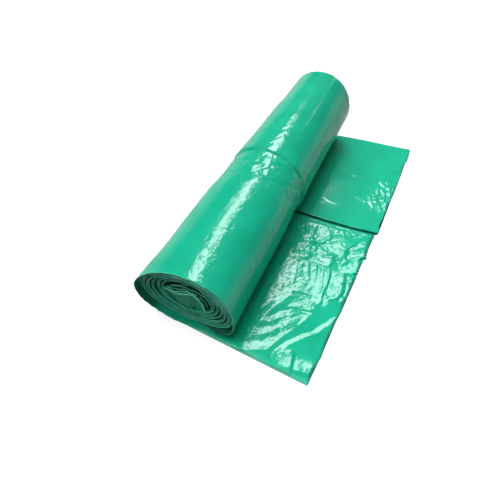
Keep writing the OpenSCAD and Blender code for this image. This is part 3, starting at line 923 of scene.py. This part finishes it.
def make_loose_bag(material):
    """The bag that is laid out, as one closed sheet with its folds: columns
    across the strip run from under the roll to the torn edge."""
    t = np.linspace(0.0, 1.0, 170)[:, None]
    small, strip, large = (np.linspace(0.0, 1.0, n) for n in (171, 95, 161))
    beneath = np.linspace(1.0, 0.0, 91)
    # Sets of columns in order round the sheet: their y and their height. The
    # edges of both folds stand on thin gaps, and the underside comes last.
    columns = [
        (near_edge, flat_at(RIM_Z)),
        (lambda x: mix(near_edge(x) + 0.1, near_fold_line(x), small), small_top),
        (lambda x: near_fold_line(x) + 0.3, edge_below(small_top, near_fold_line, 0.3, 0.0)),
        (lambda x: near_fold_line(x) + 0.2, edge_below(small_top, near_fold_line, 0.7, 0.75)),
        (lambda x: near_fold_line(x) - 1.6, flat_at(0.72)),
        (lambda x: mix(near_fold_line(x) - 1.2, far_fold_line(x) + 3.0, strip), strip_top),
        (lambda x: far_fold_line(x) + 4.0, flat_at(1.0)),
        (lambda x: far_fold_line(x) + 2.6, large_lip),
        (lambda x: far_fold_line(x) + 0.1, edge_below(large_top, far_fold_line, 0.6, 1.1)),
        (lambda x: far_fold_line(x) - 0.3, edge_below(large_top, far_fold_line, 0.3, 1.15)),
        (lambda x: mix(far_fold_line(x), far_edge(x) - 0.1, large), large_top),
        (far_edge, flat_at(RIM_Z)),
        (lambda x: mix(near_edge(x), far_edge(x), beneath), flat_at(0.0))]
    rows, outline = [], []
    for y_of, z_of in columns:
        x = mix(SHEET_START, torn_edge(y_of(np.full((1, 1), TAIL_REACH))), t)
        y = y_of(x)
        z = z_of(x, y)
        rows.append(placed(x, y, z))
        outline.extend(zip(y[-1], z[-1]))
    rows = np.concatenate(rows, 1)
    x, y = rows[:, :, 0], rows[:, :, 1] + ROLL_LEN / 2

    creased = np.where(y < far_fold_line(x), 1.0, np.maximum(0.12, torn_crinkles(x, y)))
    creased = np.where(y < near_fold_line(x), small_fold_creased(x, y), creased)
    # Painted highlight along the near rim and along the smaller fold's edge
    patchy = clamp01(0.75 + 0.35 * waver(x / 7.0, 352))
    rim_highlight = np.exp(-np.maximum(0.0, y - near_edge(x)) / 1.1) * patchy
    fold = 0.8 * bell(y - near_fold_line(x) + 0.5, 0.5) * clamp01(0.6 + waver(x / 5.0, 353))
    # Painted shade in the gaps under the folds and under the roll
    gap_shade = np.maximum(bell(y - near_fold_line(x) - 0.8, 0.6), bell(y - far_fold_line(x) + 0.4, 0.5))
    hollow = np.maximum(0.35 * smooth((34.0 - x) / 20.0), 0.75 * gap_shade)
    piece = sweep("loose_bag", rows, outline, material, creased=creased,
                  pale=np.maximum(rim_highlight, fold), hollow=hollow)


# Surroundings, in metres

# The camera of the photo, solved from points measured in it, with its angles
# in radians, and its sensor and focal length in millimetres
CAMERA_PLACE = (0.11074, -0.26572, 0.26970)
CAMERA_YAW, CAMERA_PITCH, CAMERA_ROLL = -0.47311, 0.8214, -0.01529
SENSOR_WIDTH, LENS = 36.0, 33.675
DAYLIGHT = (0.86, 0.95, 1.0)
LAMP_DISTANCE = 3.0
# The table reaches this far from the middle. To the camera its glow rises from
# the first level to the second between two distances from the middle.
TABLE_REACH = 4.0
GLOW_NEAR, GLOW_FAR = 0.68, 1.0
GLOW_START, GLOW_END = 0.3, 1.5


def bearing(azimuth, height):
    """Unit vector to a place `azimuth` degrees from +Y towards +X."""
    a, h = math.radians(azimuth), math.radians(height)
    return Vector((math.sin(a) * math.cos(h), math.cos(a) * math.cos(h), math.sin(h)))


def softbox(name, azimuth, height, wide, tall, radiance, roll=0.0, tint=(1.0, 1.0, 1.0)):
    """A lamp `wide` by `tall` degrees as the object sees it. With `roll` it
    leans to the right by that many degrees."""
    data = bpy.data.lights.new(name, "AREA")
    data.shape = "RECTANGLE"
    data.size = 2 * LAMP_DISTANCE * math.tan(math.radians(wide / 2))
    data.size_y = 2 * LAMP_DISTANCE * math.tan(math.radians(tall / 2))
    data.energy = radiance * math.pi * data.size * data.size_y
    data.color = tint
    lamp = bpy.data.objects.new(name, data)
    way = bearing(azimuth, height)
    lamp.location = way * LAMP_DISTANCE
    lean = Matrix.Rotation(math.radians(-roll), 3, "Z")
    lamp.rotation_euler = (way.to_track_quat("Z", "Y").to_matrix() @ lean).to_euler()
    bpy.context.scene.collection.objects.link(lamp)
    return lamp


def make_lamps():
    # The white streak along the roll and the shine of the loose bag's wrinkles
    softbox("back_box", -22, 52, 13.5, 24, 11.5, roll=37, tint=DAYLIGHT)
    # A thin streak on the far part of the roll, and a haze round both
    softbox("back_strip", 17, 33, 1.6, 8, 6.0, tint=DAYLIGHT)
    softbox("back_veil", -14, 45, 43, 34, 0.13, tint=DAYLIGHT)
    # Sheen on the two flanks
    softbox("right_box", 100, 62, 26, 5, 2.4)
    softbox("left_box", -135, 45, 30, 12, 3.0)
    # Light from above, which shows in no reflection
    overhead = softbox("overhead", -90, 70, 60, 60, 3.0)
    overhead.visible_glossy = False


def make_camera():
    yaw, pitch, roll = CAMERA_YAW, CAMERA_PITCH, CAMERA_ROLL
    ahead = Vector((math.sin(yaw) * math.cos(pitch), math.cos(yaw) * math.cos(pitch), -math.sin(pitch)))
    right = Vector((math.cos(yaw), -math.sin(yaw), 0.0))
    up = right.cross(ahead)
    side = math.cos(roll) * right + math.sin(roll) * up
    top = -math.sin(roll) * right + math.cos(roll) * up
    data = bpy.data.cameras.new("camera")
    data.sensor_width = SENSOR_WIDTH
    data.lens = LENS
    camera = bpy.data.objects.new("camera", data)
    turn = Matrix((side, top, -ahead)).transposed().to_4x4()
    camera.matrix_world = Matrix.Translation(CAMERA_PLACE) @ turn
    bpy.context.scene.collection.objects.link(camera)
    bpy.context.scene.camera = camera


def make_world():
    """White for the camera, a whitish room in reflections, a plain dim fill."""
    world = bpy.data.worlds.new("room")
    bpy.context.scene.world = world
    world.use_nodes = True
    nodes, links = world.node_tree.nodes, world.node_tree.links
    nodes.clear()

    def background(colour, strength=1.0):
        node = nodes.new("ShaderNodeBackground")
        node.inputs["Color"].default_value = colour
        node.inputs["Strength"].default_value = strength
        return node

    def chosen(share, first, second):
        node = nodes.new("ShaderNodeMixShader")
        links.new(share, node.inputs["Fac"])
        links.new(first.outputs[0], node.inputs[1])
        links.new(second.outputs[0], node.inputs[2])
        return node

    # The room is bright low down and dim overhead
    room = background((0.9, 0.97, 1.0, 1))
    split = nodes.new("ShaderNodeSeparateXYZ")
    links.new(nodes.new("ShaderNodeTexCoord").outputs["Generated"], split.inputs[0])
    level = nodes.new("ShaderNodeMapRange")
    level.interpolation_type = "SMOOTHSTEP"
    for label, value in (("From Min", 0.05), ("From Max", 0.35), ("To Min", 0.75), ("To Max", 0.1)):
        level.inputs[label].default_value = value
    links.new(split.outputs["Z"], level.inputs["Value"])
    links.new(level.outputs["Result"], room.inputs["Strength"])

    path = nodes.new("ShaderNodeLightPath")
    shiny = nodes.new("ShaderNodeMath")
    shiny.operation = "MAXIMUM"
    links.new(path.outputs["Is Glossy Ray"], shiny.inputs[0])
    links.new(path.outputs["Is Transmission Ray"], shiny.inputs[1])
    lit = chosen(shiny.outputs[0], background((0.97, 0.985, 1.0, 1), 0.12), room)
    seen = chosen(path.outputs["Is Camera Ray"], lit, background((1, 1, 1, 1)))
    out = nodes.new("ShaderNodeOutputWorld")
    links.new(seen.outputs[0], out.inputs["Surface"])


def make_floor():
    """A grey table that a glow makes white to the camera, so that it keeps
    the object's shadow and runs into the white background."""
    mesh = bpy.data.meshes.new("floor")
    corners = [(-TABLE_REACH, -TABLE_REACH, 0), (TABLE_REACH, -TABLE_REACH, 0),
               (TABLE_REACH, TABLE_REACH, 0), (-TABLE_REACH, TABLE_REACH, 0)]
    mesh.from_pydata(corners, [], [(0, 1, 2, 3)])
    mat = bpy.data.materials.new("white_table")
    mat.use_nodes = True
    nodes, links = mat.node_tree.nodes, mat.node_tree.links
    shader = nodes["Principled BSDF"]
    shader.inputs["Base Color"].default_value = (0.45, 0.45, 0.45, 1)
    shader.inputs["Roughness"].default_value = 0.9
    shader.inputs["Specular IOR Level"].default_value = 0.0
    shader.inputs["Emission Color"].default_value = (1, 1, 1, 1)
    reach = nodes.new("ShaderNodeVectorMath")
    reach.operation = "LENGTH"
    links.new(nodes.new("ShaderNodeTexCoord").outputs["Object"], reach.inputs[0])
    level = nodes.new("ShaderNodeMapRange")
    for label, value in (("From Min", GLOW_START), ("From Max", GLOW_END),
                         ("To Min", GLOW_NEAR), ("To Max", GLOW_FAR)):
        level.inputs[label].default_value = value
    links.new(reach.outputs["Value"], level.inputs["Value"])
    glow = nodes.new("ShaderNodeMath")
    glow.operation = "MULTIPLY"
    links.new(nodes.new("ShaderNodeLightPath").outputs["Is Camera Ray"], glow.inputs[0])
    links.new(level.outputs["Result"], glow.inputs[1])
    links.new(glow.outputs[0], shader.inputs["Emission Strength"])
    mesh.materials.append(mat)
    floor = bpy.data.objects.new("floor", mesh)
    # A hair below the surface, so that the strip's underside doesn't flicker
    floor.location = (0, 0, -0.0001)
    bpy.context.scene.collection.objects.link(floor)


def main():
    bpy.context.scene.view_settings.view_transform = "Standard"
    make_camera()
    make_world()
    make_floor()
    make_lamps()
    film = film_material("film", 0.94)
    wound = film_material("wound_film", 0.87)
    # A darker copy of the film, painted shade, for the wound ends, the middle and the wrap's inner face; it
    # is also rougher and less shiny
    edges = film_material("film_edges_shaded", 0.55, 0.3, (0.28, 0.4))
    make_wrap(wound, edges)
    make_turns(edges)
    make_middle(edges)
    make_films(edges)
    make_loose_bag(film)


main()
